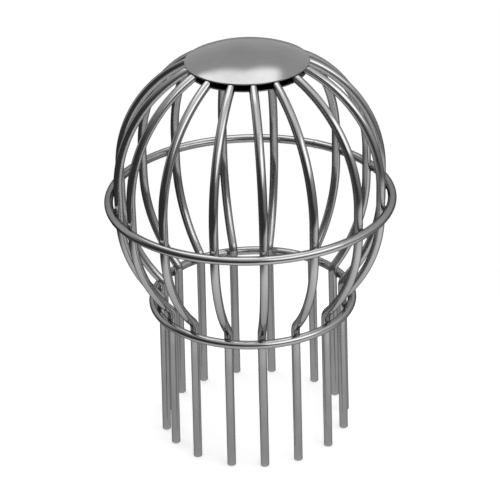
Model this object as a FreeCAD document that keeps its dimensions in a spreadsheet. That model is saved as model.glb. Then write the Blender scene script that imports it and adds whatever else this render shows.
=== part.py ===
"""Wire leaf guard for the outlet of a round downpipe.

Sixteen bent wires stand in a ring. Each one is a rib of the ball and, below the
neck, a leg that goes down into the pipe. Two dished discs pinch the heads of the
ribs at the top, and two hoops are welded round the outside: one at the belly and
one at the neck, which stops on the rim of the outlet.

Millimetres, +Z up. The origin is on the ground at the guard's axis, under the leg
tips. A bearing is counted from -Y, positive towards +X.
"""
import FreeCAD, Part
import math
import os
from enum import IntEnum

import Sketcher

# Driving dimensions: alias, value, what it sets.
DIMENSIONS = (
    ("wire_dia", 3.0, "diameter of every wire"),
    ("rib_count", 16, "ribs round the ball"),
    ("first_bearing", 7.0, "bearing of the first rib's even place, degrees"),
    ("ball_radius", 45.0, "radius of the upper curve, to the wire's axis"),
    ("ball_rise", 46.0, "centre of the upper curve above the neck hoop"),
    ("belt_height", 10.0, "straight wire between the upper and the lower curve"),
    ("belly_ring_rise", 2.5, "belly hoop above the foot of the belt"),
    ("leg_circle_radius", 31.5, "axis of the legs, level with the neck hoop"),
    ("leg_length", 49.0, "neck hoop above the leg tips"),
    ("leg_splay", 1.0, "outward lean of the legs, so that they grip the pipe, degrees"),
    ("bend_radius", 4.0, "bend at the neck, to the wire's axis"),
    ("bend_rise", 1.5, "foot of the bend above the neck hoop"),
    ("tip_bevel", 0.4, "bevelled edge of a leg tip"),
    ("head_reach", 14.0, "end of a rib's head from the guard's axis"),
    ("cap_radius", 20.75, "cap, out to its edge"),
    ("backing_radius", 20.0, "backing disc, out to its edge"),
    ("sheet", 0.5, "sheet of both discs"),
    ("set_down", 0.35, "depth by which each disc is pressed into the rib heads"),
    ("rim_gap", 0.15, "play between a disc's edge and the shoulder of a rib"),
    ("weld_gap", 0.02, "play left between welded pieces"),
)

# How far each rib was welded from its even place, in degrees.
STRAYS = (-2, -3, -1, 0, -1, -4, -5, 4, 5, 6, 4, 5, 5, 0, -1, 0)

SHEET = "dims"
OUT_FOLDER = "parts"


class Axis(IntEnum):
    """A sketch's own axes, as its constraints count them."""

    ACROSS = -1
    UP = -2


class Spot(IntEnum):
    """Points of a line or an arc, as a sketch's constraints count them."""

    START = 1
    END = 2
    CENTRE = 3


ORIGIN = (Axis.ACROSS, Spot.START)


def make_sheet(doc):
    """Fill the spreadsheet with the driving dimensions and the strays."""
    sheet = doc.addObject("Spreadsheet::Sheet", SHEET)
    rows = list(DIMENSIONS)
    count = next(value for alias, value, _ in DIMENSIONS if alias == "rib_count")
    for index in range(int(count)):
        stray = STRAYS[index] if index < len(STRAYS) else 0
        rows.append((stray_alias(index), stray, "rib off its even place, degrees"))
    for row, (alias, value, note) in enumerate(rows, start=1):
        sheet.set("A%d" % row, str(value))
        sheet.setAlias("A%d" % row, alias)
        sheet.set("B%d" % row, note)
    doc.recompute()
    return sheet


def stray_alias(index):
    """Name of the cell that holds one rib's stray."""
    return "stray_%02d" % (index + 1)


def formula(text):
    """Turn {alias} in a formula into a reference to the sheet."""
    return text.replace("{", SHEET + ".").replace("}", "")


BALL_HEIGHT = "({leg_length} + {ball_rise})"
CAP_SEAT = "({ball_radius} + {wire_dia} / 2 - {set_down})"
BACKING_SEAT = "({ball_radius} - {wire_dia} / 2 + {set_down})"
LEG_TOP = "({leg_length} + {bend_rise})"
TIP_LIFT = "(({wire_dia} / 2 - {tip_bevel}) * sin({leg_splay}))"


class Drawing:
    """A sketch on one of a body's own planes, whose sizes follow the sheet.

    In the XZ plane, across is out from the guard's axis and up is +Z.
    """

    def __init__(self, body, name, role="XZ_Plane"):
        plane = next(o for o in body.Origin.OriginFeatures if o.Role == role)
        self.sketch = body.newObject("Sketcher::SketchObject", name)
        self.sketch.AttachmentSupport = [(plane, "")]
        self.sketch.MapMode = "FlatFace"

    def line(self, start, end):
        """Add a straight line and return its number."""
        segment = Part.LineSegment(FreeCAD.Vector(*start), FreeCAD.Vector(*end))
        return self.sketch.addGeometry(segment)

    def arc(self, centre, radius, first, last):
        """Add an arc, anticlockwise between two angles in degrees."""
        circle = Part.Circle(FreeCAD.Vector(*centre), FreeCAD.Vector(0, 0, 1), radius)
        return self.sketch.addGeometry(
            Part.ArcOfCircle(circle, math.radians(first), math.radians(last)))

    def circle(self, centre, radius):
        """Add a full circle and return its number."""
        return self.sketch.addGeometry(
            Part.Circle(FreeCAD.Vector(*centre), FreeCAD.Vector(0, 0, 1), radius))

    def fix(self, kind, *places):
        """Add a constraint with no size."""
        self.sketch.addConstraint(Sketcher.Constraint(kind, *places))

    def size(self, name, text, kind, *places):
        """Add a named constraint whose size follows a formula on the sheet."""
        value = self.measure(kind, *places)
        index = self.sketch.addConstraint(Sketcher.Constraint(kind, *places, value))
        self.sketch.renameConstraint(index, name)
        self.sketch.setExpression("Constraints." + name, formula(text))

    def measure(self, kind, *places):
        """Size that the drawn geometry has now, so that the sketch starts solved."""
        if kind in ("Radius", "Diameter"):
            radius = self.sketch.Geometry[places[0]].Radius
            return radius if kind == "Radius" else 2 * radius
        points = [self.sketch.getPoint(*places[i:i + 2]) for i in range(0, len(places), 2)]
        across = points[-1] - points[0]
        return across.x if kind == "DistanceX" else across.y


def read_sizes(sheet):
    """Sizes that the first drawing of the sketches needs, as plain numbers."""
    size = {alias: float(sheet.get(alias)) for alias, _, _ in DIMENSIONS}
    size["ball_height"] = size["leg_length"] + size["ball_rise"]
    size["cap_seat"] = size["ball_radius"] + size["wire_dia"] / 2 - size["set_down"]
    size["backing_seat"] = size["ball_radius"] - size["wire_dia"] / 2 + size["set_down"]
    return size


def draw_rib_path(profile, size):
    """Draw the axis of one rib: upper curve, belt, lower curve, bend and leg.

    Each length runs tangent into the next. The radius of the lower curve is the one
    that joins the belt to the bend.
    """
    ball = size["ball_radius"]
    ball_height = size["ball_height"]
    bend = size["bend_radius"]
    splay = math.radians(size["leg_splay"])
    belt_foot = ball_height - size["belt_height"]

    tip_lift = (size["wire_dia"] / 2 - size["tip_bevel"]) * math.sin(splay)
    leg_top = size["leg_length"] + size["bend_rise"]
    top_across = size["leg_circle_radius"] - size["bend_rise"] * math.tan(splay)
    tip_across = size["leg_circle_radius"] + (size["leg_length"] - tip_lift) * math.tan(splay)

    bend_centre = (top_across + bend * math.cos(splay), leg_top + bend * math.sin(splay), 0)
    reach = bend_centre[0] - ball
    drop = belt_foot - bend_centre[1]
    lower = (reach ** 2 + drop ** 2 - bend ** 2) / (2 * (bend - reach))
    turn = math.degrees(math.atan2(drop, bend_centre[0] - ball + lower))
    head = math.degrees(math.acos(size["head_reach"] / ball))

    upper_curve = profile.arc((0, ball_height, 0), ball, 0, head)
    belt = profile.line((ball, ball_height, 0), (ball, belt_foot, 0))
    lower_curve = profile.arc((ball - lower, belt_foot, 0), lower, -turn, 0)
    bend_curve = profile.arc(bend_centre, bend, 180 - turn, 180 + size["leg_splay"])
    leg = profile.line((top_across, leg_top, 0), (tip_across, tip_lift, 0))

    profile.fix("PointOnObject", upper_curve, Spot.CENTRE, Axis.UP)
    profile.fix("Horizontal", upper_curve, Spot.CENTRE, upper_curve, Spot.START)
    profile.fix("Tangent", upper_curve, Spot.START, belt, Spot.START)
    profile.fix("Tangent", belt, Spot.END, lower_curve, Spot.END)
    profile.fix("Tangent", lower_curve, Spot.START, bend_curve, Spot.START)
    profile.fix("Tangent", bend_curve, Spot.END, leg, Spot.START)
    profile.size("ball_height", BALL_HEIGHT, "DistanceY", *ORIGIN, upper_curve, Spot.CENTRE)
    profile.size("ball_radius", "{ball_radius}", "Radius", upper_curve)
    profile.size("head_reach", "{head_reach}", "DistanceX", *ORIGIN, upper_curve, Spot.END)
    profile.size("belt_height", "{belt_height}", "DistanceY", belt, Spot.END, belt, Spot.START)
    profile.size("bend_radius", "{bend_radius}", "Radius", bend_curve)
    profile.size("leg_top", LEG_TOP, "DistanceY", *ORIGIN, leg, Spot.START)
    profile.size("top_across", "{leg_circle_radius} - {bend_rise} * tan({leg_splay})",
                 "DistanceX", *ORIGIN, leg, Spot.START)
    profile.size("tip_lift", TIP_LIFT, "DistanceY", *ORIGIN, leg, Spot.END)
    profile.size("tip_across",
                 "{leg_circle_radius} + ({leg_length} - " + TIP_LIFT + ") * tan({leg_splay})",
                 "DistanceX", *ORIGIN, leg, Spot.END)


def draw_rib_section(section, size):
    """Draw the wire's round section, level with the top of the belt."""
    section.sketch.AttachmentOffset = FreeCAD.Placement(
        FreeCAD.Vector(size["ball_radius"], 0, size["ball_height"]), FreeCAD.Rotation())
    section.sketch.setExpression("AttachmentOffset.Base.x", formula("{ball_radius}"))
    section.sketch.setExpression("AttachmentOffset.Base.z", formula(BALL_HEIGHT))
    rim = section.circle((0, 0, 0), size["wire_dia"] / 2)
    section.fix("Coincident", rim, Spot.CENTRE, *ORIGIN)
    section.size("wire_dia", "{wire_dia}", "Diameter", rim)


def draw_sector(profile, name, size, inner, outer, first, last):
    """Draw a closed band between two arcs round the ball's centre.

    inner and outer are (value, formula) of the two radii. first and last are
    (value, formula) of how far the outer arc's ends stand from the axis.
    """
    centre = (0, size["ball_height"], 0)

    def at(radius, angle):
        return (radius * math.cos(math.radians(angle)),
                centre[1] + radius * math.sin(math.radians(angle)), 0)

    low = math.degrees(math.acos(last[0] / outer[0]))
    high = math.degrees(math.acos(first[0] / outer[0]))
    outer_arc = profile.arc(centre, outer[0], low, high)
    inner_arc = profile.arc(centre, inner[0], low, high)
    edge = profile.line(at(inner[0], low), at(outer[0], low))
    back = profile.line(at(outer[0], high), at(inner[0], high))

    profile.fix("PointOnObject", outer_arc, Spot.CENTRE, Axis.UP)
    profile.fix("Coincident", outer_arc, Spot.CENTRE, inner_arc, Spot.CENTRE)
    profile.fix("Coincident", inner_arc, Spot.START, edge, Spot.START)
    profile.fix("Coincident", edge, Spot.END, outer_arc, Spot.START)
    profile.fix("Coincident", outer_arc, Spot.END, back, Spot.START)
    profile.fix("Coincident", back, Spot.END, inner_arc, Spot.END)
    profile.fix("PointOnObject", outer_arc, Spot.CENTRE, edge)
    profile.size(name + "_height", BALL_HEIGHT, "DistanceY", *ORIGIN, outer_arc, Spot.CENTRE)
    profile.size(name + "_outer", outer[1], "Radius", outer_arc)
    profile.size(name + "_inner", inner[1], "Radius", inner_arc)
    profile.size(name + "_edge", last[1], "DistanceX", *ORIGIN, outer_arc, Spot.START)
    if first[0] > 0:
        profile.fix("PointOnObject", outer_arc, Spot.CENTRE, back)
        profile.size(name + "_back", first[1], "DistanceX", *ORIGIN, outer_arc, Spot.END)
    else:
        profile.fix("PointOnObject", outer_arc, Spot.END, Axis.UP)
        profile.fix("PointOnObject", inner_arc, Spot.END, Axis.UP)


def spin(body, kind, name, profile):
    """Turn a profile once round the guard's axis, as a Revolution or a Groove."""
    feature = body.newObject("PartDesign::" + kind, name)
    feature.Profile = profile.sketch
    feature.ReferenceAxis = (profile.sketch, ["V_Axis"])
    feature.Angle = 360
    return feature


def add_disc(doc, label, size, inner, outer, radius):
    """Add a dished disc: a cap of a sphere round the ball's centre."""
    body = doc.addObject("PartDesign::Body", label)
    body.Label = label
    profile = Drawing(body, label + "_profile")
    draw_sector(profile, "disc", size, inner, outer, (0, "0"), radius)
    spin(body, "Revolution", label + "_dish", profile)
    return body


def add_cap(doc, size):
    """Add the cap, pressed down into the outside of the rib heads."""
    seat = size["cap_seat"]
    return add_disc(doc, "cap", size,
                    (seat, CAP_SEAT),
                    (seat + size["sheet"], CAP_SEAT + " + {sheet}"),
                    (size["cap_radius"], "{cap_radius}"))


def add_backing_disc(doc, size):
    """Add the disc under the wires, pressed up into the inside of the rib heads."""
    seat = size["backing_seat"]
    return add_disc(doc, "backing_disc", size,
                    (seat - size["sheet"], BACKING_SEAT + " - {sheet}"),
                    (seat, BACKING_SEAT),
                    (size["backing_radius"], "{backing_radius}"))


def draw_head_seats(profile, size):
    """Draw what the two discs press out of a rib's head, with a shoulder past each edge."""
    wire = size["wire_dia"]
    back = (size["head_reach"] - wire, "{head_reach} - {wire_dia}")
    clear = size["ball_radius"] + wire
    cap_face = size["cap_seat"] - size["weld_gap"]
    cap_shoulder = (size["cap_radius"] + size["rim_gap"]) * clear / (size["cap_seat"] + size["sheet"])
    draw_sector(profile, "cap", size,
                (cap_face, CAP_SEAT + " - {weld_gap}"),
                (clear, "{ball_radius} + {wire_dia}"),
                back,
                (cap_shoulder, "({cap_radius} + {rim_gap}) * ({ball_radius} + {wire_dia}) / ("
                 + CAP_SEAT + " + {sheet})"))
    backing_face = size["backing_seat"] + size["weld_gap"]
    backing_shoulder = (size["backing_radius"] + size["rim_gap"]) * backing_face / size["backing_seat"]
    draw_sector(profile, "backing", size,
                (size["ball_radius"] - wire, "{ball_radius} - {wire_dia}"),
                (backing_face, BACKING_SEAT + " + {weld_gap}"),
                back,
                (backing_shoulder, "({backing_radius} + {rim_gap}) * (" + BACKING_SEAT
                 + " + {weld_gap}) / " + BACKING_SEAT))


def add_rib(doc, index, size):
    """Add one wire: a rib of the ball, bent at the neck into a leg."""
    label = "rib_%02d" % (index + 1)
    body = doc.addObject("PartDesign::Body", label)
    body.Label = label

    path = Drawing(body, label + "_path")
    draw_rib_path(path, size)
    section = Drawing(body, label + "_section", "XY_Plane")
    draw_rib_section(section, size)
    wire = body.newObject("PartDesign::AdditivePipe", label + "_wire")
    wire.Profile = section.sketch
    wire.Spine = (path.sketch, [])
    doc.recompute()

    seats = Drawing(body, label + "_seats")
    draw_head_seats(seats, size)
    head = spin(body, "Groove", label + "_head", seats)
    doc.recompute()

    tip = body.newObject("PartDesign::Chamfer", label + "_tip")
    tip.Base = (head, [lowest_edge(head.Shape)])
    tip.setExpression("Size", formula("{tip_bevel}"))

    turn = "{first_bearing} + 360 / {rib_count} * %d + {%s} - 90" % (index, stray_alias(index))
    body.Placement = FreeCAD.Placement(
        FreeCAD.Vector(0, 0, 0), FreeCAD.Rotation(FreeCAD.Vector(0, 0, 1), 0))
    body.setExpression("Placement.Rotation.Angle", formula(turn))
    return body


def lowest_edge(shape):
    """Name of the edge round a leg's cut end."""
    heights = [edge.BoundBox.ZMax for edge in shape.Edges]
    return "Edge%d" % (heights.index(min(heights)) + 1)


def add_ring(doc, label, radius, height):
    """Add a closed wire hoop; radius and height are formulas for its axis."""
    ring = doc.addObject("Part::Torus", label)
    ring.Label = label
    ring.setExpression("Radius1", formula(radius))
    ring.setExpression("Radius2", formula("{wire_dia} / 2"))
    ring.setExpression("Placement.Base.z", formula(height))
    return ring


def check(doc, pieces):
    """Stop if any object failed, or if a piece is not one sound solid."""
    for item in doc.Objects:
        if "Invalid" in item.State or "Error" in item.State:
            raise RuntimeError("%s did not build: %s" % (item.Name, item.State))
    for piece in pieces:
        shape = piece.Shape
        if shape.isNull() or not shape.isValid() or len(shape.Solids) != 1:
            raise RuntimeError("%s is not one sound solid" % piece.Label)


def main():
    """Build the guard and write one STEP file for each piece."""
    doc = FreeCAD.newDocument("leaf_guard")
    sheet = make_sheet(doc)
    size = read_sizes(sheet)

    pieces = [add_cap(doc, size), add_backing_disc(doc, size)]
    for index in range(int(size["rib_count"])):
        pieces.append(add_rib(doc, index, size))
    hoop = " + {wire_dia} + {weld_gap}"
    pieces.append(add_ring(doc, "belly_ring", "{ball_radius}" + hoop,
                           BALL_HEIGHT + " - {belt_height} + {belly_ring_rise}"))
    pieces.append(add_ring(doc, "neck_ring", "{leg_circle_radius}" + hoop, "{leg_length}"))

    doc.recompute()
    check(doc, pieces)
    os.makedirs(OUT_FOLDER, exist_ok=True)
    for piece in pieces:
        piece.Shape.exportStep(os.path.join(OUT_FOLDER, piece.Label + ".step"))
        print("%-13s %9.2f mm3" % (piece.Label, piece.Shape.Volume))


main()
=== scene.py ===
"""Looks of a wire leaf guard for a downpipe, round the frame of its solids.

Each wire and disc is modelled again as a smooth piece of the same form, with the marks
that making it leaves: coined rib heads under the cap, sheared and rounded leg tips,
resistance welds with their heat tint, draw lines along the wire and rolling marks on
the sheet. Metres, +Z up. A bearing is counted from -Y, positive towards +X.
"""

import logging
import math
import random
from dataclasses import dataclass
from enum import Enum
from typing import Any, Callable, Iterable, Optional, Sequence

import bmesh
import bpy
from mathutils import Matrix, Vector, kdtree, noise

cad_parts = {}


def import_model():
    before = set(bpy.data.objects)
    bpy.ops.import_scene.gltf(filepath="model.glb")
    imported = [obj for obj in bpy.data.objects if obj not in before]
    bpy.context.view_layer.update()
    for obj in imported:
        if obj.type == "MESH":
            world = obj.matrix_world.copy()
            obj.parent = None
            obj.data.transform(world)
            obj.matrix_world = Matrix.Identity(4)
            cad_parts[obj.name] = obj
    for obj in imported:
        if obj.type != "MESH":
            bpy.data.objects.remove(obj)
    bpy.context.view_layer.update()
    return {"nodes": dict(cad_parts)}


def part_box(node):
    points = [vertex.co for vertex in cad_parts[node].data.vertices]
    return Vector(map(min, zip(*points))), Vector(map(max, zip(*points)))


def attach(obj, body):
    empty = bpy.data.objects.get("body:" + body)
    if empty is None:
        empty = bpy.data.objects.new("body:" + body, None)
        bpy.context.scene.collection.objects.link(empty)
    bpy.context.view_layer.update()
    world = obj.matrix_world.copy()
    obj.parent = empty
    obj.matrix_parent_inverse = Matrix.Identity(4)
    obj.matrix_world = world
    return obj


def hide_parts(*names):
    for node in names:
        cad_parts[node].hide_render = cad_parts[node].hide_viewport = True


log = logging.getLogger("leaf_guard")

MM = 0.001
BODY = "root"
SEED = 14                           # of the weld beads' unevenness
UP = Vector((0, 0, 1))
SHARP = math.radians(40)            # an edge that turns by more is shaded as an edge
NOISE_MIDDLE = 0.5                  # of a noise texture's values
WHITE = "#ffffff"

Piece = bpy.types.Object
Tree = bpy.types.NodeTree
Socket = bpy.types.NodeSocket
Pair = tuple[float, float]
Place = tuple[float, float, float]


class Slot(Enum):
    """Material slots of the record."""

    SHEET = "sheet"
    RIB_WIRE = "rib_wire"
    HOOP_WIRE = "hoop_wire"


class Part(Enum):
    """What is selected in edit mode."""

    POINTS = "VERT"
    FACES = "FACE"


class Mark(Enum):
    """Attributes that a wire's or a disc's finish reads from its mesh."""

    DRAWN = "drawn"     # place in the straight wire, before it was bent
    HEAT = "heat"       # how near a weld is, 0 to 1
    CUT = "cut"         # 1 on a sheared end or a blanked edge


def linear(code: str) -> tuple[float, float, float, float]:
    """Turn an sRGB hex colour into linear red, green, blue and alpha.

    Args:
        code: Six hex digits after a hash.

    Returns:
        The four linear values.
    """
    values = []
    for start in (1, 3, 5):
        share = int(code[start:start + 2], 16) / 255
        values.append(share / 12.92 if share <= 0.04045 else ((share + 0.055) / 1.055) ** 2.4)
    return (*values, 1.0)


def smooth_step(low: float, high: float, value: float) -> float:
    """Ease from 0 at low to 1 at high."""
    share = min(max((value - low) / (high - low), 0.0), 1.0)
    return share * share * (3 - 2 * share)


def outward(bearing: float) -> Vector:
    """Unit vector out from the guard's axis at a bearing."""
    return Vector((math.sin(bearing), -math.cos(bearing), 0))


def add_node(tree: Tree, kind: str, inputs: Optional[dict] = None,
             **settings: Any) -> bpy.types.Node:
    """Add a node, set its properties, and fill or link its inputs.

    Args:
        tree: Node tree that gets the node.
        kind: The node's type name.
        inputs: Values or output sockets, by the input's name or number.
        **settings: Properties of the node.

    Returns:
        The new node.
    """
    node = tree.nodes.new(kind)
    for name, value in settings.items():
        setattr(node, name, value)
    for key, value in (inputs or {}).items():
        if isinstance(value, Socket):
            tree.links.new(value, node.inputs[key])
        else:
            node.inputs[key].default_value = value
    return node


def new_material(name: str) -> tuple[bpy.types.Material, Tree]:
    """Make an empty node material.

    Args:
        name: The material's name.

    Returns:
        The material and its node tree.
    """
    material = bpy.data.materials.new(name)
    material.use_nodes = True
    material.node_tree.nodes.clear()
    return material, material.node_tree


def close_metal(tree: Tree, shade: Socket, rough: Any, relief: Socket, depth: float,
                grazed: str = WHITE) -> None:
    """Close the tree of a bare metal: its relief, its shine and the output.

    Args:
        tree: The material's node tree.
        shade: Its colour.
        rough: Its roughness, as a number or a socket.
        relief: Height of its surface, 0 to 1.
        depth: Depth of that relief.
        grazed: Colour of the shine at a grazing angle.
    """
    skin = add_node(tree, "ShaderNodeBump", {"Strength": 1.0, "Distance": depth, "Height": relief})
    metal = add_node(tree, "ShaderNodeBsdfPrincipled", {
        "Base Color": shade, "Metallic": 1.0, "Roughness": rough,
        "Specular Tint": linear(grazed), "Normal": skin.outputs[0]})
    add_node(tree, "ShaderNodeOutputMaterial", {"Surface": metal.outputs[0]})


@dataclass(frozen=True)
class GuardSizes:
    """Sizes that the pieces share, in metres and radians, as the solids have them."""

    wire_radius: float
    belly_height: float
    belly_hoop_radius: float
    neck_height: float
    neck_hoop_radius: float
    cap_radius: float
    cap_top: float
    backing_radius: float
    sheet: float = 0.5 * MM
    set_down: float = 0.35 * MM         # by which a disc is pressed into the wires
    rim_gap: float = 0.15 * MM          # from a disc's edge to the shoulder in the wires
    weld_gap: float = 0.02 * MM
    belt_height: float = 10 * MM
    bend_radius: float = 4 * MM
    bend_rise: float = 1.5 * MM         # of the bend's lower end above the neck hoop
    leg_splay: float = math.radians(1)
    tip_round: float = 0.4 * MM
    head_reach: float = 14 * MM         # of a rib's head from the guard's axis
    heat_reach: float = 2.8 * MM        # of a weld's tint

    @classmethod
    def from_frame(cls) -> "GuardSizes":
        """Read the driving sizes from the boxes of the hoops and discs.

        Returns:
            The guard's sizes.
        """
        belly_low, belly_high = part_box("belly_ring")
        neck_low, neck_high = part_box("neck_ring")
        cap_low, cap_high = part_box("cap")
        backing_low, backing_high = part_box("backing_disc")
        wire_radius = (neck_high.z - neck_low.z) / 2
        return cls(
            wire_radius=wire_radius,
            belly_height=(belly_high.z + belly_low.z) / 2,
            belly_hoop_radius=(belly_high.x - belly_low.x) / 2 - wire_radius,
            neck_height=(neck_high.z + neck_low.z) / 2,
            neck_hoop_radius=(neck_high.x - neck_low.x) / 2 - wire_radius,
            cap_radius=(cap_high.x - cap_low.x) / 2,
            cap_top=cap_high.z,
            backing_radius=(backing_high.x - backing_low.x) / 2)

    @property
    def hoop_offset(self) -> float:
        """Distance from a rib's axis to the axis of a hoop welded on it."""
        return 2 * self.wire_radius + self.weld_gap

    @property
    def ball_radius(self) -> float:
        """Radius of a rib's upper curve, to the wire's axis."""
        return self.belly_hoop_radius - self.hoop_offset

    @property
    def cap_seat(self) -> float:
        """Radius of the cap's underside round the ball's centre."""
        return self.ball_radius + self.wire_radius - self.set_down

    @property
    def cap_face(self) -> float:
        """Radius of the cap's upper face round the ball's centre."""
        return self.cap_seat + self.sheet

    @property
    def backing_seat(self) -> float:
        """Radius of the backing disc's upper face round the ball's centre."""
        return self.ball_radius - self.wire_radius + self.set_down

    @property
    def ball_centre(self) -> Vector:
        """Centre of the ball, on the guard's axis."""
        return UP * (self.cap_top - self.cap_face)

    @property
    def belt_foot(self) -> float:
        """Height at which the straight belt runs into the lower curve."""
        return self.ball_centre.z - self.belt_height

    @property
    def leg_circle_radius(self) -> float:
        """Radius of the ring of legs at the neck hoop, to the wires' axes."""
        return self.neck_hoop_radius - self.hoop_offset

    @property
    def leg_top(self) -> Vector:
        """Place where the bend runs into the straight leg, in the plane of a rib along +X."""
        across = self.leg_circle_radius - self.bend_rise * math.tan(self.leg_splay)
        return Vector((across, 0, self.neck_height + self.bend_rise))

    @property
    def tip_lift(self) -> float:
        """Height of the middle of a leg's cut face, with the face's edge on the ground."""
        return (self.wire_radius - self.tip_round) * math.sin(self.leg_splay)

    @property
    def leg(self) -> Vector:
        """The straight leg from its top to its tip, in the plane of a rib along +X."""
        run = (self.leg_top.z - self.tip_lift) / math.cos(self.leg_splay)
        return Vector((math.sin(self.leg_splay), 0, -math.cos(self.leg_splay))) * run

    @property
    def bend_centre(self) -> Vector:
        """Centre of the bend at the neck, in the plane of a rib along +X."""
        turn = Vector((math.cos(self.leg_splay), 0, math.sin(self.leg_splay)))
        return self.leg_top + turn * self.bend_radius

    @property
    def lower_radius(self) -> float:
        """Radius of the lower curve, which joins the belt to the bend.

        Returns:
            The one radius at which both joints are smooth.
        """
        reach = self.bend_centre.x - self.ball_radius
        drop = self.belt_foot - self.bend_centre.z
        bend = self.bend_radius
        return (reach ** 2 + drop ** 2 - bend ** 2) / (2 * (bend - reach))

    @property
    def lower_turn(self) -> float:
        """Angle that the lower curve turns through."""
        across = self.bend_centre.x - self.ball_radius + self.lower_radius
        return math.atan2(self.belt_foot - self.bend_centre.z, across)

    @property
    def head_turn(self) -> float:
        """Angle of a rib's head above the level of the ball's centre."""
        return math.acos(self.head_reach / self.ball_radius)

    def heat_at(self, place: Vector, welds: Iterable[Vector]) -> float:
        """How strongly the nearest weld has tinted a place, 0 to 1."""
        return max(1 - smooth_step(0, self.heat_reach, (place - weld).length) for weld in welds)


class Bench:
    """Modelling by operators: selections and edits that the pieces share."""

    @staticmethod
    def clear() -> None:
        """Leave edit mode and deselect every object."""
        if bpy.context.object and bpy.context.object.mode != "OBJECT":
            bpy.ops.object.mode_set(mode="OBJECT")
        bpy.ops.object.select_all(action="DESELECT")

    @staticmethod
    def take(piece: Piece) -> None:
        """Select one piece alone and make it active.

        Args:
            piece: The object.
        """
        Bench.clear()
        bpy.context.view_layer.objects.active = piece
        piece.select_set(True)

    @staticmethod
    def settle() -> Piece:
        """Put the place of the primitive just added into its mesh, and return its object."""
        bpy.ops.object.transform_apply(location=True, rotation=True, scale=True)
        return bpy.context.object

    @staticmethod
    def edit(piece: Piece, part: Part) -> None:
        """Open a piece for editing with nothing selected.

        Args:
            piece: The mesh object.
            part: What will be selected there.
        """
        Bench.take(piece)
        bpy.ops.object.mode_set(mode="EDIT")
        bpy.ops.mesh.select_mode(type=part.value)
        bpy.ops.mesh.select_all(action="DESELECT")

    @staticmethod
    def pick_faces(piece: Piece, wanted: Callable[[Vector, Vector], bool]) -> None:
        """Select the faces of the piece in edit mode that a test accepts.

        Args:
            piece: The mesh object, open in edit mode.
            wanted: Test of a face's middle and normal.
        """
        mesh = bmesh.from_edit_mesh(piece.data)
        for face in mesh.faces:
            face.select = wanted(face.calc_center_median(), face.normal)
        bmesh.update_edit_mesh(piece.data)

    @staticmethod
    def apply(piece: Piece, kind: str, **settings: Any) -> None:
        """Add a modifier to a piece and apply it.

        Args:
            piece: The mesh object.
            kind: The modifier's type.
            **settings: Properties of the modifier.
        """
        Bench.take(piece)
        modifier = piece.modifiers.new(kind.lower(), kind)
        for name, value in settings.items():
            setattr(modifier, name, value)
        bpy.ops.object.modifier_apply(modifier=modifier.name)

    @staticmethod
    def copy_turned(piece: Piece, angle: float) -> Piece:
        """Copy a piece with its own mesh, turned round the guard's axis.

        Args:
            piece: The object to copy.
            angle: Turn about +Z.

        Returns:
            The copy, with its place in its mesh.
        """
        Bench.take(piece)
        bpy.ops.object.duplicate(linked=False)
        bpy.context.object.rotation_euler.z = angle
        return Bench.settle()

    @staticmethod
    def mark(piece: Piece, mark: Mark, values: Sequence[float]) -> None:
        """Store one number, or one vector, for each vertex of a piece.

        Args:
            piece: The mesh object, in object mode.
            mark: Which attribute is written.
            values: Flat list of numbers; three to a vertex for a vector.
        """
        vector = len(values) == 3 * len(piece.data.vertices)
        kind = "FLOAT_VECTOR" if vector else "FLOAT"
        attribute = piece.data.attributes.new(mark.value, kind, "POINT")
        attribute.data.foreach_set("vector" if vector else "value", values)

    @staticmethod
    def hand_over(piece: Piece, name: str, slot: Slot, material: bpy.types.Material,
                  nodes: Iterable[str] = ()) -> None:
        """Name a finished piece, dress it, attach it to the body and hide the nodes of the frame that it
        stands for.

        Args:
            piece: The finished mesh object.
            name: The piece's name.
            slot: The record's slot that its finish belongs to; not used.
            material: Its material.
            nodes: Nodes of the frame that it stands for.
        """
        Bench.take(piece)
        bpy.ops.object.shade_smooth_by_angle(angle=SHARP)
        piece.name = name
        piece.data.name = name
        piece.data.materials.clear()
        piece.data.materials.append(material)
        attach(piece, BODY)
        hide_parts(*nodes)
        log.info("%s: %d faces", name, len(piece.data.polygons))


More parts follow.
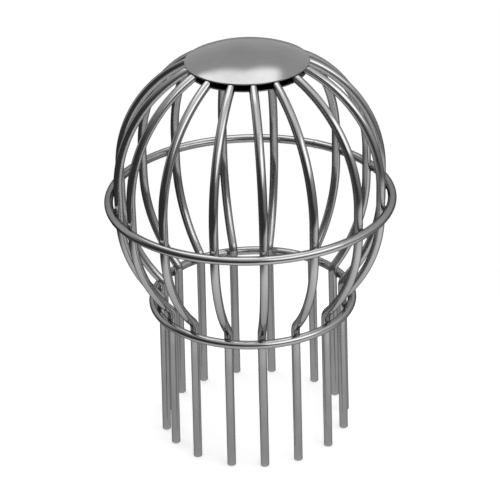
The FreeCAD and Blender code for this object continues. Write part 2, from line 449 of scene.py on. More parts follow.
@dataclass(frozen=True)
class DrawnWire:
    """Bright drawn stainless wire.

    A die pulls it to size, which leaves a clear metal shine, faint lines along the wire
    and a little soap film. Each weld leaves a grey tint on it. A noise is given by its detail
    and its roughness, and a range by the values between which its effect comes in.
    """

    name: str = "bright_drawn_stainless_wire"
    colour: str = "#c1c1c1"
    stained: str = "#b9b9b9"
    heated: str = "#595959"
    sheared: str = "#9a9a9a"
    grazed: str = "#808080"             # of the shine at a grazing angle: grey, which darkens the wires towards their edges
    roughness: float = 0.11
    film_roughness: float = 0.14
    heat_roughness: float = 0.45
    line_roughness: float = 0.04        # what the draw lines add at most
    line_width: float = 0.25 * MM       # real draw lines are near 0.02 mm: drawn coarser, to show
    line_length: float = 18 * MM
    line_depth: float = 0.0006 * MM
    line_noise: Pair = (3.0, 0.6)
    stain_size: float = 14 * MM
    stain_noise: Pair = (4.0, 0.55)
    film_range: Pair = (0.42, 0.68)     # of the stain's noise
    grain_size: float = 0.5 * MM
    grain_noise: Pair = (2.0, 0.5)
    grain_share: float = 0.35           # by which the grain frays the edge of a tint
    tint_range: Pair = (0.3, 0.9)       # of the heat
    tint_most: float = 0.6

    def material(self) -> bpy.types.Material:
        """Make the material.

        Returns:
            The material, which reads all three marks.
        """
        material, tree = new_material(self.name)
        marks = {mark: add_node(tree, "ShaderNodeAttribute", attribute_name=mark.value).outputs
                 for mark in Mark}
        drawn = marks[Mark.DRAWN]["Vector"]
        heat, cut = marks[Mark.HEAT]["Fac"], marks[Mark.CUT]["Fac"]

        across = 1 / self.line_width
        lined = add_node(tree, "ShaderNodeMapping", {
            "Vector": drawn, "Scale": (across, across, 1 / self.line_length)}).outputs[0]
        lines, stain, grain = (
            add_node(tree, "ShaderNodeTexNoise", {
                "Vector": place, "Scale": scale, "Detail": detail, "Roughness": rough}).outputs["Fac"]
            for place, scale, (detail, rough) in (
                (lined, 1.0, self.line_noise),
                (drawn, 1 / self.stain_size, self.stain_noise),
                (drawn, 1 / self.grain_size, self.grain_noise)))
        frayed = add_node(tree, "ShaderNodeMath", {
            0: grain, 1: NOISE_MIDDLE}, operation="SUBTRACT").outputs[0]
        frayed_heat = add_node(tree, "ShaderNodeMath", {
            0: frayed, 1: self.grain_share, 2: heat}, operation="MULTIPLY_ADD").outputs[0]
        film, tint = (
            add_node(tree, "ShaderNodeMapRange", {
                "Value": value, "From Min": low, "From Max": high, "To Max": most}).outputs[0]
            for value, (low, high), most in (
                (stain, self.film_range, 1.0), (frayed_heat, self.tint_range, self.tint_most)))

        shade: Any = linear(self.colour)
        for share, colour in ((film, self.stained), (tint, self.heated), (cut, self.sheared)):
            shade = add_node(tree, "ShaderNodeMix", {
                0: share, 6: shade, 7: linear(colour)}, data_type="RGBA").outputs[2]
        filmed = add_node(tree, "ShaderNodeMapRange", {
            "Value": film, "To Min": self.roughness, "To Max": self.film_roughness}).outputs[0]
        rough = add_node(tree, "ShaderNodeMath", {
            0: lines, 1: self.line_roughness, 2: filmed}, operation="MULTIPLY_ADD").outputs[0]
        for share in (tint, cut):
            rough = add_node(tree, "ShaderNodeMix", {
                0: share, 2: rough, 3: self.heat_roughness}).outputs[0]
        close_metal(tree, shade, rough, lines, self.line_depth, self.grazed)
        return material


@dataclass(frozen=True)
class RolledSheet:
    """Bright cold-rolled stainless sheet.

    The rolls leave fine lines one way and a soft shine. Pressing it to a dome leaves
    faint waves, and handling leaves a few hairline scratches. Noises and ranges are given
    as for the wire.
    """

    name: str = "bright_rolled_stainless_sheet"
    colour: str = "#b8b8b8"
    dull: str = "#afafaf"
    edge: str = "#8d8d8d"
    roughness: float = 0.1
    dull_roughness: float = 0.15
    edge_roughness: float = 0.45
    line_roughness: float = 0.05        # what the roll lines add at most
    line_width: float = 0.3 * MM        # real roll lines are near 0.03 mm: drawn coarser, to show
    line_length: float = 12 * MM
    line_depth: float = 0.0006 * MM
    line_noise: Pair = (3.0, 0.6)
    stain_size: float = 9 * MM
    stain_noise: Pair = (4.0, 0.6)
    film_range: Pair = (0.4, 0.66)      # of the stain's noise
    scratch_width: float = 0.12 * MM
    scratch_length: float = 16 * MM
    scratch_turn: float = math.radians(24)
    scratch_noise: Pair = (1.0, 0.5)
    scratch_range: Pair = (0.7, 0.76)   # of the scratches' noise
    scratch_depth: float = 1.5          # in depths of a roll line

    def material(self) -> bpy.types.Material:
        """Make the material.

        Returns:
            The material, which reads the mark of cut edges.
        """
        material, tree = new_material(self.name)
        place = add_node(tree, "ShaderNodeTexCoord").outputs["Object"]
        cut = add_node(tree, "ShaderNodeAttribute", attribute_name=Mark.CUT.value).outputs["Fac"]

        lined, scored = (
            add_node(tree, "ShaderNodeMapping", {
                "Vector": place, "Rotation": (0, 0, turn),
                "Scale": (1 / length, 1 / width, 1 / length)}).outputs[0]
            for length, width, turn in (
                (self.line_length, self.line_width, 0.0),
                (self.scratch_length, self.scratch_width, self.scratch_turn)))
        lines, scratch, stain = (
            add_node(tree, "ShaderNodeTexNoise", {
                "Vector": spot, "Scale": scale, "Detail": detail, "Roughness": rough}).outputs["Fac"]
            for spot, scale, (detail, rough) in (
                (lined, 1.0, self.line_noise),
                (scored, 1.0, self.scratch_noise),
                (place, 1 / self.stain_size, self.stain_noise)))
        film, scratched = (
            add_node(tree, "ShaderNodeMapRange", {
                "Value": value, "From Min": low, "From Max": high}).outputs[0]
            for value, (low, high) in ((stain, self.film_range), (scratch, self.scratch_range)))

        shade: Any = linear(self.colour)
        for share, colour in ((film, self.dull), (cut, self.edge)):
            shade = add_node(tree, "ShaderNodeMix", {
                0: share, 6: shade, 7: linear(colour)}, data_type="RGBA").outputs[2]
        filmed = add_node(tree, "ShaderNodeMapRange", {
            "Value": film, "To Min": self.roughness, "To Max": self.dull_roughness}).outputs[0]
        streaked = add_node(tree, "ShaderNodeMath", {
            0: lines, 1: self.line_roughness, 2: filmed}, operation="MULTIPLY_ADD").outputs[0]
        rough = add_node(tree, "ShaderNodeMix", {
            0: cut, 2: streaked, 3: self.edge_roughness}).outputs[0]
        relief = add_node(tree, "ShaderNodeMath", {
            0: scratched, 1: -self.scratch_depth, 2: lines}, operation="MULTIPLY_ADD").outputs[0]
        close_metal(tree, shade, rough, relief, self.line_depth)
        return material


@dataclass(frozen=True)
class WeldNugget:
    """Squeezed and cooled stainless of a resistance weld: grey, matt and a little pitted."""

    name: str = "cooled_weld_nugget"
    colour: str = "#7a7a7a"
    scaled: str = "#5a5a5a"
    roughness: float = 0.45
    pit_size: float = 0.35 * MM
    pit_depth: float = 0.012 * MM
    pit_detail: float = 3.0

    def material(self) -> bpy.types.Material:
        """Make the material.

        Returns:
            The material.
        """
        material, tree = new_material(self.name)
        place = add_node(tree, "ShaderNodeTexCoord").outputs["Object"]
        pits = add_node(tree, "ShaderNodeTexNoise", {
            "Vector": place, "Scale": 1 / self.pit_size, "Detail": self.pit_detail}).outputs["Fac"]
        shade = add_node(tree, "ShaderNodeMix", {
            0: pits, 6: linear(self.colour), 7: linear(self.scaled)}, data_type="RGBA").outputs[2]
        close_metal(tree, shade, self.roughness, pits, self.pit_depth)
        return material


@dataclass(frozen=True)
class WireAxis:
    """The axis of a wire that is bent in one plane, sampled closely."""

    points: list[Vector]
    sideways: Vector            # unit vector across that plane
    step: float

    def straighten(self, vertices: Iterable[Vector]) -> list[float]:
        """Give each point its place in the wire before it was bent.

        Args:
            vertices: Points on or in the wire.

        Returns:
            Flat list of numbers, three to a point: two across the wire, one along it.
        """
        tree = kdtree.KDTree(len(self.points))
        for index, point in enumerate(self.points):
            tree.insert(point, index)
        tree.balance()
        last = len(self.points) - 1
        places: list[float] = []
        for vertex in vertices:
            nearest, index, _ = tree.find(vertex)
            along = (self.points[min(index + 1, last)] - self.points[max(index - 1, 0)]).normalized()
            offset = vertex - nearest
            places += [offset.dot(self.sideways), offset.dot(along.cross(self.sideways)),
                       index * self.step + offset.dot(along)]
        return places


@dataclass
class Rib:
    """One wire: a rib of the ball, bent at the neck into a leg, modelled in the plane of +X."""

    sizes: GuardSizes
    sides: int = 36
    head_steps: int = 60
    upper_steps: int = 44
    belt_steps: int = 5
    lower_steps: int = 30
    bend_steps: int = 16
    leg_steps: int = 24
    tip_segments: int = 5
    fine_turn: float = math.radians(15)         # length of the head that is meshed finely
    shoulder_turn: float = math.radians(0.55)   # run of the shoulder past a disc's edge
    shoulder_rise: float = 2.0          # in set-downs: clear of the wire's own round
    merge_reach: float = 0.002 * MM
    down_share: float = -0.9            # of +Z, at most, in the normal of the leg's cut face
    axis_step: float = 0.1 * MM

    def model(self) -> Piece:
        """Model the wire: turn and extrude a circle along its axis, then work its ends.

        Returns:
            The wire, with its marks.
        """
        size = self.sizes
        centre = size.ball_centre
        head = Vector((math.cos(size.head_turn), 0, math.sin(size.head_turn))) * size.ball_radius
        Bench.clear()
        bpy.ops.mesh.primitive_circle_add(
            vertices=self.sides, radius=size.wire_radius, location=centre + head,
            rotation=(0, -size.head_turn, 0))
        wire = Bench.settle()
        Bench.edit(wire, Part.POINTS)
        bpy.ops.mesh.select_all(action="SELECT")

        down, back = (0, -1, 0), (0, 1, 0)      # spin turns clockwise about its axis
        bpy.ops.mesh.spin(steps=self.head_steps, angle=self.fine_turn, center=centre, axis=down)
        bpy.ops.mesh.spin(steps=self.upper_steps, angle=size.head_turn - self.fine_turn,
                          center=centre, axis=down)
        self.extrude(-UP * size.belt_height, self.belt_steps)
        bpy.ops.mesh.spin(steps=self.lower_steps, angle=size.lower_turn,
                          center=(size.ball_radius - size.lower_radius, 0, size.belt_foot), axis=down)
        bpy.ops.mesh.spin(steps=self.bend_steps, angle=size.lower_turn + size.leg_splay,
                          center=size.bend_centre, axis=back)
        self.extrude(size.leg, self.leg_steps)
        self.close_ends(wire)
        self.coin_head(wire)
        self.mark(wire)
        return wire

    @staticmethod
    def extrude(run: Vector, steps: int) -> None:
        """Extrude the selected ring in equal steps.

        Args:
            run: The whole way.
            steps: Number of steps.
        """
        for _ in range(steps):
            bpy.ops.mesh.extrude_region_move(TRANSFORM_OT_translate={"value": run / steps})

    def close_ends(self, wire: Piece) -> None:
        """Fill both ends of the wire and round the edge of the leg's tip.

        Args:
            wire: The wire, open in edit mode.
        """
        bpy.ops.mesh.select_all(action="SELECT")
        bpy.ops.mesh.remove_doubles(threshold=self.merge_reach)
        bpy.ops.mesh.fill_holes(sides=0)
        bpy.ops.mesh.select_all(action="SELECT")
        bpy.ops.mesh.normals_make_consistent(inside=False)
        bpy.ops.mesh.select_mode(type=Part.FACES.value)
        tip_top = 2 * self.sizes.tip_lift
        Bench.pick_faces(
            wire, lambda middle, normal: middle.z < tip_top and normal.z < self.down_share)
        bpy.ops.mesh.bevel(offset=self.sizes.tip_round, segments=self.tip_segments, affect="EDGES")
        bpy.ops.object.mode_set(mode="OBJECT")

    def coin_head(self, wire: Piece) -> None:
        """Press the rib's head flat where two discs pinch it, with a soft shoulder at each edge.

        Args:
            wire: The wire, in object mode.
        """
        size = self.sizes
        centre = size.ball_centre
        top = size.cap_seat - size.weld_gap
        bottom = size.backing_seat + size.weld_gap
        edges = (math.asin((size.cap_radius + size.rim_gap) / size.cap_face),
                 math.asin((size.backing_radius + size.rim_gap) / size.backing_seat))
        for vertex in wire.data.vertices:
            ray = vertex.co - centre
            if ray.z <= 0:
                continue
            turn = ray.angle(UP)
            rise, fall = (
                smooth_step(edge, edge + self.shoulder_turn, turn) * size.set_down * self.shoulder_rise
                for edge in edges)
            length = min(max(ray.length, bottom - fall), top + rise)
            vertex.co = centre + ray.normalized() * length

    def arc(self, centre: Vector, radius: float, first: float, last: float) -> list[Vector]:
        """Sample an arc of the axis, in the plane of +X.

        Args:
            centre: Its centre.
            radius: Its radius.
            first: Angle above +X at which it starts.
            last: Angle at which it ends.

        Returns:
            Its points, without the last one.
        """
        count = round(radius * abs(last - first) / self.axis_step)
        turns = [first + (last - first) * index / count for index in range(count)]
        return [centre + Vector((math.cos(turn), 0, math.sin(turn))) * radius for turn in turns]

    def line(self, start: Vector, end: Vector) -> list[Vector]:
        """Sample a straight length of the axis, without its last point."""
        count = round((end - start).length / self.axis_step)
        return [start.lerp(end, index / count) for index in range(count)]

    def axis(self) -> WireAxis:
        """Sample the wire's axis from the head to the tip.

        Returns:
            The axis.
        """
        size = self.sizes
        belt_top = Vector((size.ball_radius, 0, size.ball_centre.z))
        belt_foot = Vector((size.ball_radius, 0, size.belt_foot))
        lower_centre = belt_foot - Vector((size.lower_radius, 0, 0))
        points = [
            *self.arc(size.ball_centre, size.ball_radius, size.head_turn, 0),
            *self.line(belt_top, belt_foot),
            *self.arc(lower_centre, size.lower_radius, 0, -size.lower_turn),
            *self.arc(size.bend_centre, size.bend_radius,
                      math.pi - size.lower_turn, math.pi + size.leg_splay),
            *self.line(size.leg_top, size.leg_top + size.leg)]
        return WireAxis(points, Vector((0, 1, 0)), self.axis_step)

    def mark(self, wire: Piece) -> None:
        """Store where the wire was drawn, heated and sheared.

        Args:
            wire: The wire, in object mode.
        """
        size = self.sizes
        welds = (Vector((size.ball_radius + size.wire_radius, 0, size.belly_height)),
                 Vector((size.leg_circle_radius + size.wire_radius, 0, size.neck_height)))
        places = [vertex.co.copy() for vertex in wire.data.vertices]
        Bench.mark(wire, Mark.DRAWN, self.axis().straighten(places))
        Bench.mark(wire, Mark.HEAT, [size.heat_at(place, welds) for place in places])
        Bench.mark(wire, Mark.CUT, [
            1 - smooth_step(size.tip_lift, size.tip_round, place.z) for place in places])


@dataclass
class Hoop:
    """A closed wire hoop with the swelling of its butt weld."""

    sizes: GuardSizes
    radius: float
    height: float
    weld_bearings: list[float]
    joint_bearing: float
    major_steps: int = 320
    sides: int = 36
    joint_reach: float = 0.9 * MM
    joint_swell: float = 0.12 * MM
    fine_reach: float = 2.7 * MM        # of the finer mesh round the joint
    fine_cuts: int = 3

    @property
    def joint(self) -> Vector:
        """Middle of the butt weld."""
        return outward(self.joint_bearing) * self.radius + UP * self.height

    def model(self) -> Piece:
        """Model the hoop: a ring of wire, swollen where its ends were joined.

        Returns:
            The hoop, with its marks.
        """
        Bench.clear()
        bpy.ops.mesh.primitive_torus_add(
            major_radius=self.radius, minor_radius=self.sizes.wire_radius,
            major_segments=self.major_steps, minor_segments=self.sides,
            location=(0, 0, self.height))
        hoop = Bench.settle()
        self.fine_joint(hoop)
        self.swell_joint(hoop)
        self.mark(hoop)
        return hoop

    def fine_joint(self, hoop: Piece) -> None:
        """Divide the stretch of wire beside the joint, so that its swelling has a shape.

        Args:
            hoop: The hoop.
        """
        joint = self.joint
        Bench.edit(hoop, Part.FACES)
        Bench.pick_faces(hoop, lambda middle, normal: (middle - joint).length < self.fine_reach)
        bpy.ops.mesh.subdivide(number_cuts=self.fine_cuts)
        bpy.ops.object.mode_set(mode="OBJECT")

    def swell_joint(self, hoop: Piece) -> None:
        """Swell the wire where its two ends were welded.

        Args:
            hoop: The hoop, in object mode.
        """
        spoke = outward(self.joint_bearing)
        along = UP.cross(spoke)
        for vertex in hoop.data.vertices:
            level = Vector((vertex.co.x, vertex.co.y, 0))
            if level.dot(spoke) <= 0:
                continue
            core = level.normalized() * self.radius + UP * self.height
            near = 1 - smooth_step(0, self.joint_reach, abs(vertex.co.dot(along)))
            skin = (vertex.co - core).normalized()
            vertex.co = core + skin * (self.sizes.wire_radius + self.joint_swell * near)

    def mark(self, hoop: Piece) -> None:
        """Store where the hoop was drawn and heated.

        Args:
            hoop: The hoop, in object mode.
        """
        inner = self.radius - self.sizes.wire_radius
        welds = [outward(bearing) * inner + UP * self.height for bearing in self.weld_bearings]
        welds.append(self.joint)
        drawn: list[float] = []
        heat: list[float] = []
        for vertex in hoop.data.vertices:
            level = Vector((vertex.co.x, vertex.co.y, 0))
            turn = math.atan2(vertex.co.x, -vertex.co.y) - self.joint_bearing
            drawn += [level.length - self.radius, vertex.co.z - self.height,
                      turn % math.tau * self.radius]
            heat.append(self.sizes.heat_at(vertex.co, welds))
        Bench.mark(hoop, Mark.DRAWN, drawn)
        Bench.mark(hoop, Mark.HEAT, heat)
        Bench.mark(hoop, Mark.CUT, [0.0] * len(heat))


@dataclass
class Disc:
    """A dished disc of sheet with a blanked edge, round the ball's centre."""

    sizes: GuardSizes
    face_radius: float          # of the upper face, round the ball's centre
    rim_radius: float           # from the guard's axis to the edge of that face
    rings: int = 56
    spokes: int = 200
    merge_reach: float = 0.02 * MM
    edge_round: float = 0.12 * MM
    edge_segments: int = 3
    edge_turn: float = math.radians(60)     # an edge that turns by more is rounded
    wave_size: float = 9 * MM
    wave_height: float = 0.03 * MM
    wave_sink: float = 0.5      # in wave heights: keeps most of the waves below the face
    wave_fade: float = 0.8      # share of the rim's radius where the waves start to fade
    cut_band: Pair = (1.5, 0.5)     # in edge rounds from the rim, where the cut look comes in

    @property
    def dish(self) -> float:
        """Angle from the guard's axis to the rim, round the ball's centre."""
        return math.asin(self.rim_radius / self.face_radius)

    def model(self) -> Piece:
        """Model the disc: draw its curve, turn it to a dome and give it the sheet's thickness.

        Returns:
            The disc, with its mark.
        """
        centre = self.sizes.ball_centre
        Bench.clear()
        bpy.ops.mesh.primitive_plane_add(size=MM, location=centre + UP * self.face_radius)
        disc = Bench.settle()
        Bench.edit(disc, Part.POINTS)
        bpy.ops.mesh.select_all(action="SELECT")
        bpy.ops.mesh.merge(type="CENTER")
        bpy.ops.mesh.spin(steps=self.rings, angle=self.dish, center=centre, axis=(0, 1, 0))
        bpy.ops.mesh.select_all(action="SELECT")
        bpy.ops.mesh.spin(steps=self.spokes, angle=math.tau, center=centre, axis=UP)
        bpy.ops.mesh.select_all(action="SELECT")
        bpy.ops.mesh.remove_doubles(threshold=self.merge_reach)
        bpy.ops.mesh.normals_make_consistent(inside=False)
        bpy.ops.object.mode_set(mode="OBJECT")
        self.face_up(disc)
        self.wave(disc)
        Bench.apply(disc, "SOLIDIFY", thickness=self.sizes.sheet, offset=-1)
        Bench.apply(disc, "BEVEL", width=self.edge_round, segments=self.edge_segments,
                    limit_method="ANGLE", angle_limit=self.edge_turn)
        self.mark(disc)
        return disc

    @staticmethod
    def face_up(disc: Piece) -> None:
        """Turn the faces of the open dome outwards, if they point in.

        Args:
            disc: The dome, in object mode.
        """
        if sum(polygon.normal.z for polygon in disc.data.polygons) < 0:
            Bench.edit(disc, Part.FACES)
            bpy.ops.mesh.select_all(action="SELECT")
            bpy.ops.mesh.flip_normals()
            bpy.ops.object.mode_set(mode="OBJECT")

    def wave(self, disc: Piece) -> None:
        """Press faint waves into the dome, which fade out at the edge.

        Args:
            disc: The dome, in object mode.
        """
        centre = self.sizes.ball_centre
        for vertex in disc.data.vertices:
            ray = vertex.co - centre
            across = Vector((ray.x, ray.y)).length
            fade = 1 - smooth_step(self.wave_fade * self.rim_radius, self.rim_radius, across)
            dip = noise.noise(ray / self.wave_size) - self.wave_sink
            vertex.co += ray.normalized() * dip * self.wave_height * fade

    def mark(self, disc: Piece) -> None:
        """Store where the sheet was blanked.

        Args:
            disc: The disc, in object mode.
        """
        centre = self.sizes.ball_centre
        low, high = (self.dish - share * self.edge_round / self.face_radius for share in self.cut_band)
        Bench.mark(disc, Mark.CUT, [
            smooth_step(low, high, (vertex.co - centre).angle(UP)) for vertex in disc.data.vertices])


@dataclass
class WeldBeads:
    """The nuggets squeezed out where each rib crosses a hoop."""

    contact_radius: float       # from the guard's axis to the place where the wires meet
    height: float
    bearings: list[float]
    seed: int
    wide: float = 1.05 * MM
    deep: float = 0.45 * MM
    wide_range: Pair = (0.85, 1.15)     # by which one bead's width and height stray
    tall_range: Pair = (0.8, 1.1)
    lump: float = 0.3           # height of its lumps, as a share
    lump_count: float = 1.6     # of lumps to a bead's half width
    lump_range: Pair = (0, 9)   # of places in the noise that the lumps are taken from
    fineness: int = 4

    def model(self) -> Piece:
        """Model one uneven bead for each crossing and join them.

        Returns:
            All the beads, as one object.
        """
        chance = random.Random(self.seed)
        beads = [self.bead(bearing, chance) for bearing in self.bearings]
        Bench.clear()
        for bead in beads:
            bead.select_set(True)
        bpy.context.view_layer.objects.active = beads[0]
        bpy.ops.object.join()
        return beads[0]

    def bead(self, bearing: float, chance: random.Random) -> Piece:
        """Model one bead, flat against the two wires.

        Args:
            bearing: Where it is.
            chance: Source of its unevenness.

        Returns:
            The bead, with its place in its mesh.
        """
        Bench.clear()
        bpy.ops.mesh.primitive_ico_sphere_add(subdivisions=self.fineness, radius=1)
        bead = bpy.context.object
        shift = Vector([chance.uniform(*self.lump_range) for _ in range(3)])
        wide = self.wide * chance.uniform(*self.wide_range)
        tall = self.wide * chance.uniform(*self.tall_range)
        for vertex in bead.data.vertices:
            swell = 1 + self.lump * noise.noise(vertex.co * self.lump_count + shift)
            vertex.co = vertex.co * Vector((wide, self.deep, tall)) * swell
        place = outward(bearing) * self.contact_radius + UP * self.height
        bead.data.transform(Matrix.Translation(place) @ Matrix.Rotation(bearing, 4, "Z"))
        return bead


@dataclass
class LeafGuard:
    """The whole guard: its ribs, hoops, discs and welds."""

    sizes: GuardSizes
    bearings: dict[str, float]      # of each rib's node, from the solids
    belly_joint: float = math.radians(150)
    neck_joint: float = math.radians(203)

    @classmethod
    def from_frame(cls, nodes: dict[str, Piece]) -> "LeafGuard":
        """Read the sizes and the ribs' bearings from the frame.

        Args:
            nodes: The frame's nodes by name.

        Returns:
            The guard, ready to build.
        """
        bearings = {}
        for name in sorted(nodes):
            if name.startswith("rib_"):
                places = [vertex.co for vertex in nodes[name].data.vertices]
                tip_top = min(place.z for place in places) + MM
                tip = sum((place for place in places if place.z < tip_top), Vector())
                bearings[name] = math.atan2(tip.x, -tip.y)
        return cls(GuardSizes.from_frame(), bearings)

    def build(self) -> None:
        """Build and dress every piece."""
        size = self.sizes
        around = list(self.bearings.values())
        wire = DrawnWire().material()
        sheet = RolledSheet().material()
        nugget = WeldNugget().material()

        master = Rib(size).model()
        for name, bearing in self.bearings.items():
            rib = Bench.copy_turned(master, bearing - math.pi / 2)
            Bench.hand_over(rib, "wire_" + name, Slot.RIB_WIRE, wire, [name])
        bpy.data.objects.remove(master)

        belly = Hoop(size, size.belly_hoop_radius, size.belly_height, around, self.belly_joint)
        Bench.hand_over(belly.model(), "wire_belly_hoop", Slot.HOOP_WIRE, wire, ["belly_ring"])
        neck = Hoop(size, size.neck_hoop_radius, size.neck_height, around, self.neck_joint)
        Bench.hand_over(neck.model(), "wire_neck_hoop", Slot.HOOP_WIRE, wire, ["neck_ring"])

        cap = Disc(size, size.cap_face, size.cap_radius)
        Bench.hand_over(cap.model(), "sheet_cap", Slot.SHEET, sheet, ["cap"])
        backing = Disc(size, size.backing_seat, size.backing_radius)
        Bench.hand_over(backing.model(), "sheet_backing_disc", Slot.SHEET, sheet, ["backing_disc"])

        skin = size.wire_radius + size.weld_gap / 2
        belly_welds = WeldBeads(size.ball_radius + skin, size.belly_height, around, SEED)
        Bench.hand_over(belly_welds.model(), "belly_weld_beads", Slot.HOOP_WIRE, nugget)
        neck_welds = WeldBeads(size.leg_circle_radius + skin, size.neck_height, around, SEED + 1)
        Bench.hand_over(neck_welds.model(), "neck_weld_beads", Slot.HOOP_WIRE, nugget)


@dataclass
class Studio:
    """Pale floor, soft light and a camera at the photograph's angle.

    The camera sees the floor and the room white, with the guard's faint shadow between its legs.
    The metal shows them as a studio has them: a lit sheet of paper round the guard, a grey wall
    behind it, a pale one at the right, a ceiling that is brighter to the right, a large soft box
    overhead with a notched back edge, a dim one in front of that, one at the front right, and a
    dim room elsewhere. A light of 1 is white. A reach, a spread or an edge holds the two values
    between which one light turns into another.
    """

    frame_pixels: int = 500
    focal_pixels: float = 2005.0
    sensor: float = 36.0                # in millimetres, as the camera counts it
    camera_place: Place = (-0.56 * MM, -613.65 * MM, 381.15 * MM)
    camera_pitch: float = math.radians(27.12)
    camera_roll: float = math.radians(-1.4)
    camera_clip: float = 10 * MM

    floor_side: float = 6.0
    paper: str = "#e8e8e8"
    shade_reach: Pair = (60 * MM, 150 * MM)     # from the floor's own shading to white
    shade_glow: float = 0.52            # added to that shading, which keeps it faint
    sheet_middle: Place = (90 * MM, -5 * MM, 0)     # of the lit paper
    sheet_reach: Pair = (180 * MM, 275 * MM)    # from that middle, where the paper ends
    near_light: float = 0.46            # of the paper under the guard
    near_reach: Pair = (45 * MM, 150 * MM)
    front_light: float = 0.74           # of the paper further to the front, and to the back
    back_light: float = 0.3
    front_reach: Pair = (-60 * MM, 20 * MM)     # in Y
    side_shares: Pair = (0.88, 1.09)    # of the paper's light, at the left and at the right
    side_reach: Pair = (-120 * MM, 120 * MM)    # in X
    painted_sheen_share: float = 1.38           # painted sheen: the paper's light, raised where it is seen steeply
    painted_sheen_spread: Pair = (0.1, 0.55)    # of how far it is turned away
    dim_reach: Pair = (100 * MM, 500 * MM)      # in X and Y, from the room to its walls

    room_light: float = 0.05
    wall_light: float = 0.5
    wall_spread: Pair = (-0.12, 0.45)   # of a direction's share of +Y
    right_light: float = 0.26
    right_spread: Pair = (0.05, 0.5)    # of its share of +X
    ceiling_light: float = 0.65
    ceiling_way: Place = (0.3, 0, 0.954)
    ceiling_spread: Pair = (0.1, 0.9)   # of its share of ceiling_way

    box_light: float = 1.22             # of the large soft box, placed in heights above the guard
    box_low: float = 0.1                # least share of +Z that a place is worked out with
    box_back: Pair = (0.7, 0.42)
    box_front: Pair = (-0.09, 0.03)
    box_left: Pair = (-0.69, -0.57)
    box_right: Pair = (0.45, 0.29)
    notch_middle: float = -0.03
    notch_slope: float = 0.6            # of the back edge, on both sides of the notch
    fill_box_light: float = 0.35        # of the dim soft box in front of it
    fill_box_place: Place = (-0.1, -0.315, 1.04)
    fill_box_sides: Pair = (0.62, 0.57)
    side_box_light: float = 1.15        # of the soft box at the front right
    side_box_place: Place = (0.62, -0.665, 0.625)
    side_box_sides: Pair = (1.1, 0.52)
    side_box_aim: Place = (0, 0, 0.1)

    def build(self) -> None:
        """Set up the camera, the floor, the soft boxes and the world."""
        bpy.context.scene.view_settings.view_transform = "Standard"
        self.add_camera()
        self.add_floor()
        self.add_soft_box("fill_soft_box", self.fill_box_place, self.fill_box_sides,
                          self.fill_box_light, -UP)
        self.add_soft_box("side_soft_box", self.side_box_place, self.side_box_sides,
                          self.side_box_light, Vector(self.side_box_aim) - Vector(self.side_box_place))
        self.set_world()

    def add_camera(self) -> None:
        """Add the camera and make it the scene's own."""
        data = bpy.data.cameras.new("camera")
        data.sensor_width = self.sensor
        data.lens = self.sensor * self.focal_pixels / self.frame_pixels
        data.clip_start = self.camera_clip
        camera = bpy.data.objects.new("camera", data)
        bpy.context.scene.collection.objects.link(camera)
        turn = (Matrix.Rotation(math.pi / 2 - self.camera_pitch, 4, "X")
                @ Matrix.Rotation(self.camera_roll, 4, "Z"))
        camera.matrix_world = Matrix.Translation(self.camera_place) @ turn
        bpy.context.scene.camera = camera

    def add_floor(self) -> None:
        """Add the floor of pale matt paper.

        The camera sees it white, and softly shaded near the guard. The metal shows it as a lit
        sheet. From below it is clear.
        """
        Bench.clear()
        bpy.ops.mesh.primitive_plane_add(size=self.floor_side)
        floor = bpy.context.object
        floor.name = "floor"
        material, tree = new_material("pale_paper_floor")
        path = add_node(tree, "ShaderNodeLightPath").outputs
        place = add_node(tree, "ShaderNodeTexCoord").outputs["Object"]
        away = add_node(tree, "ShaderNodeVectorMath", {0: place}, operation="LENGTH").outputs["Value"]
        paper = add_node(tree, "ShaderNodeBsdfDiffuse", {"Color": linear(self.paper)}).outputs[0]
        glow, white, lit = (
            add_node(tree, "ShaderNodeEmission", {"Strength": light}).outputs[0]
            for light in (self.shade_glow, 1.0, self.paper_light(tree, place, away)))
        shaded = add_node(tree, "ShaderNodeAddShader", {0: paper, 1: glow}).outputs[0]
        apart = add_node(tree, "ShaderNodeMapRange", {
            "Value": away, "From Min": self.shade_reach[0], "From Max": self.shade_reach[1]},
            interpolation_type="SMOOTHSTEP").outputs[0]
        backdrop = add_node(tree, "ShaderNodeMixShader", {0: apart, 1: shaded, 2: white}).outputs[0]
        mirrored = add_node(tree, "ShaderNodeMath", {
            0: path["Is Glossy Ray"], 1: path["Is Transmission Ray"]}, operation="MAXIMUM").outputs[0]
        under = add_node(tree, "ShaderNodeNewGeometry").outputs["Backfacing"]
        clear = add_node(tree, "ShaderNodeBsdfTransparent").outputs[0]
        seen = paper
        for share, face in ((mirrored, lit), (path["Is Camera Ray"], backdrop), (under, clear)):
            seen = add_node(tree, "ShaderNodeMixShader", {0: share, 1: seen, 2: face}).outputs[0]
        add_node(tree, "ShaderNodeOutputMaterial", {"Surface": seen})
        floor.data.materials.append(material)

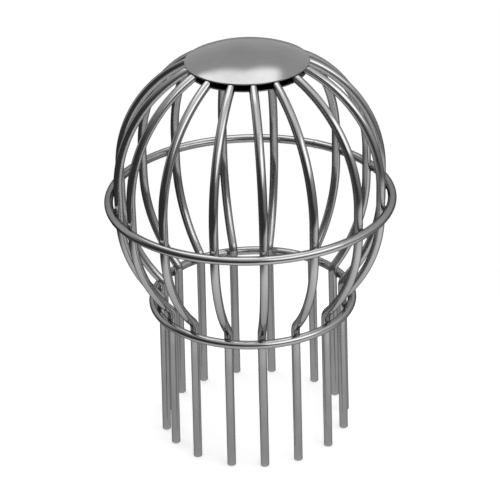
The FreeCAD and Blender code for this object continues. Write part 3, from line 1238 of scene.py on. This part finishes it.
    def paper_light(self, tree: Tree, place: Socket, away: Socket) -> Socket:
        """Give the floor's light as the metal shows it.

        Args:
            tree: The floor's node tree.
            place: Place on the floor.
            away: Distance from the guard's axis.

        Returns:
            The strength of light at that place.
        """
        across, deep, _ = add_node(tree, "ShaderNodeSeparateXYZ", {0: place}).outputs
        offset = add_node(tree, "ShaderNodeVectorMath", {
            0: place, 1: self.sheet_middle}, operation="SUBTRACT").outputs[0]
        apart = add_node(tree, "ShaderNodeVectorMath", {0: offset}, operation="LENGTH").outputs["Value"]
        far, sheet, side, right, behind = (
            add_node(tree, "ShaderNodeMapRange", {
                "Value": value, "From Min": reach[0], "From Max": reach[1],
                "To Min": lights[0], "To Max": lights[1]}, interpolation_type="SMOOTHSTEP").outputs[0]
            for value, reach, lights in (
                (deep, self.front_reach, (self.front_light, self.back_light)),
                (apart, self.sheet_reach, (1.0, 0.0)),
                (across, self.side_reach, self.side_shares),
                (across, self.dim_reach, (self.room_light, self.right_light)),
                (deep, self.dim_reach, (self.room_light, self.back_light))))
        lit = add_node(tree, "ShaderNodeMapRange", {
            "Value": away, "From Min": self.near_reach[0], "From Max": self.near_reach[1],
            "To Min": self.near_light, "To Max": far}, interpolation_type="SMOOTHSTEP").outputs[0]
        # Painted sheen: the paper is made brighter where the metal sees it steeply, in place of the soft
        # box overhead reflected in it.
        turned = add_node(tree, "ShaderNodeLayerWeight").outputs["Facing"]
        painted_sheen = add_node(tree, "ShaderNodeMapRange", {
            "Value": turned, "From Min": self.painted_sheen_spread[0], "From Max": self.painted_sheen_spread[1],
            "To Min": self.painted_sheen_share, "To Max": 1.0}).outputs[0]
        for share in (painted_sheen, side):
            lit = add_node(tree, "ShaderNodeMath", {0: lit, 1: share}, operation="MULTIPLY").outputs[0]
        outside = add_node(tree, "ShaderNodeMath", {0: right, 1: behind}, operation="MAXIMUM").outputs[0]
        return add_node(tree, "ShaderNodeMix", {0: sheet, 2: outside, 3: lit}).outputs[0]

    @staticmethod
    def add_soft_box(name: str, place: Place, sides: Pair, light: float, facing: Vector) -> None:
        """Hang a soft box.

        Args:
            name: Its name.
            place: Its middle.
            sides: Its width and height.
            light: Brightness of its face; 1 is white.
            facing: The way it shines.
        """
        data = bpy.data.lights.new(name, "AREA")
        data.shape = "RECTANGLE"
        data.size, data.size_y = sides
        data.energy = light * math.pi * data.size * data.size_y
        lamp = bpy.data.objects.new(name, data)
        lamp.location = place
        lamp.rotation_euler = facing.to_track_quat("-Z", "Y").to_euler()
        lamp.visible_camera = False
        bpy.context.scene.collection.objects.link(lamp)

    def overhead_light(self, tree: Tree, shares: Sequence[Socket]) -> Socket:
        """Give the light of the large soft box overhead, whose back edge is notched.

        Its places are counted in heights, on a level plane above the guard.

        Args:
            tree: The world's node tree.
            shares: A direction's share of each axis.

        Returns:
            The strength of its light in that direction.
        """
        height = add_node(tree, "ShaderNodeMath", {
            0: shares[2], 1: self.box_low}, operation="MAXIMUM").outputs[0]
        across, deep = (
            add_node(tree, "ShaderNodeMath", {0: share, 1: height}, operation="DIVIDE").outputs[0]
            for share in shares[:2])
        arm = add_node(tree, "ShaderNodeMath", {
            0: across, 1: self.notch_middle}, operation="SUBTRACT").outputs[0]
        spread = add_node(tree, "ShaderNodeMath", {0: arm}, operation="ABSOLUTE").outputs[0]
        notched = add_node(tree, "ShaderNodeMath", {
            0: spread, 1: -self.notch_slope, 2: deep}, operation="MULTIPLY_ADD").outputs[0]
        light: Any = self.box_light
        for place, edge in ((notched, self.box_back), (deep, self.box_front),
                            (across, self.box_left), (across, self.box_right)):
            inside = add_node(tree, "ShaderNodeMapRange", {
                "Value": place, "From Min": edge[0], "From Max": edge[1]},
                interpolation_type="SMOOTHSTEP").outputs[0]
            light = add_node(tree, "ShaderNodeMath", {
                0: light, 1: inside}, operation="MULTIPLY").outputs[0]
        return light

    def set_world(self) -> None:
        """Show the world white to the camera, and as a dim room with pale walls to the metal."""
        world = bpy.data.worlds.new("studio")
        bpy.context.scene.world = world
        world.use_nodes = True
        tree = world.node_tree
        tree.nodes.clear()
        path = add_node(tree, "ShaderNodeLightPath").outputs
        way = add_node(tree, "ShaderNodeTexCoord").outputs["Generated"]
        shares = list(add_node(tree, "ShaderNodeSeparateXYZ", {0: way}).outputs)
        raised = add_node(tree, "ShaderNodeVectorMath", {
            0: way, 1: self.ceiling_way}, operation="DOT_PRODUCT").outputs["Value"]
        right, wall, ceiling = (
            add_node(tree, "ShaderNodeMapRange", {
                "Value": value, "From Min": spread[0], "From Max": spread[1],
                "To Min": lights[0], "To Max": lights[1]}, interpolation_type="SMOOTHSTEP").outputs[0]
            for value, spread, lights in (
                (shares[0], self.right_spread, (self.room_light, self.right_light)),
                (shares[1], self.wall_spread, (0.0, 1.0)),
                (raised, self.ceiling_spread, (0.0, self.ceiling_light))))
        sides = add_node(tree, "ShaderNodeMath", {0: right, 1: ceiling}, operation="ADD").outputs[0]
        walls = add_node(tree, "ShaderNodeMix", {0: wall, 2: sides, 3: self.wall_light}).outputs[0]
        light = add_node(tree, "ShaderNodeMath", {
            0: self.overhead_light(tree, shares), 1: walls}, operation="ADD").outputs[0]
        room, white = (
            add_node(tree, "ShaderNodeBackground", {
                "Color": linear(WHITE), "Strength": strength}).outputs[0]
            for strength in (light, 1.0))
        seen = add_node(tree, "ShaderNodeMixShader", {
            0: path["Is Camera Ray"], 1: room, 2: white}).outputs[0]
        add_node(tree, "ShaderNodeOutputWorld", {"Surface": seen})


def main() -> None:
    """Load the frame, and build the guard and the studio."""
    logging.basicConfig(level=logging.INFO, format="%(name)s %(message)s")
    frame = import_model()
    LeafGuard.from_frame(frame["nodes"]).build()
    Studio().build()


if __name__ == "__main__":
    main()
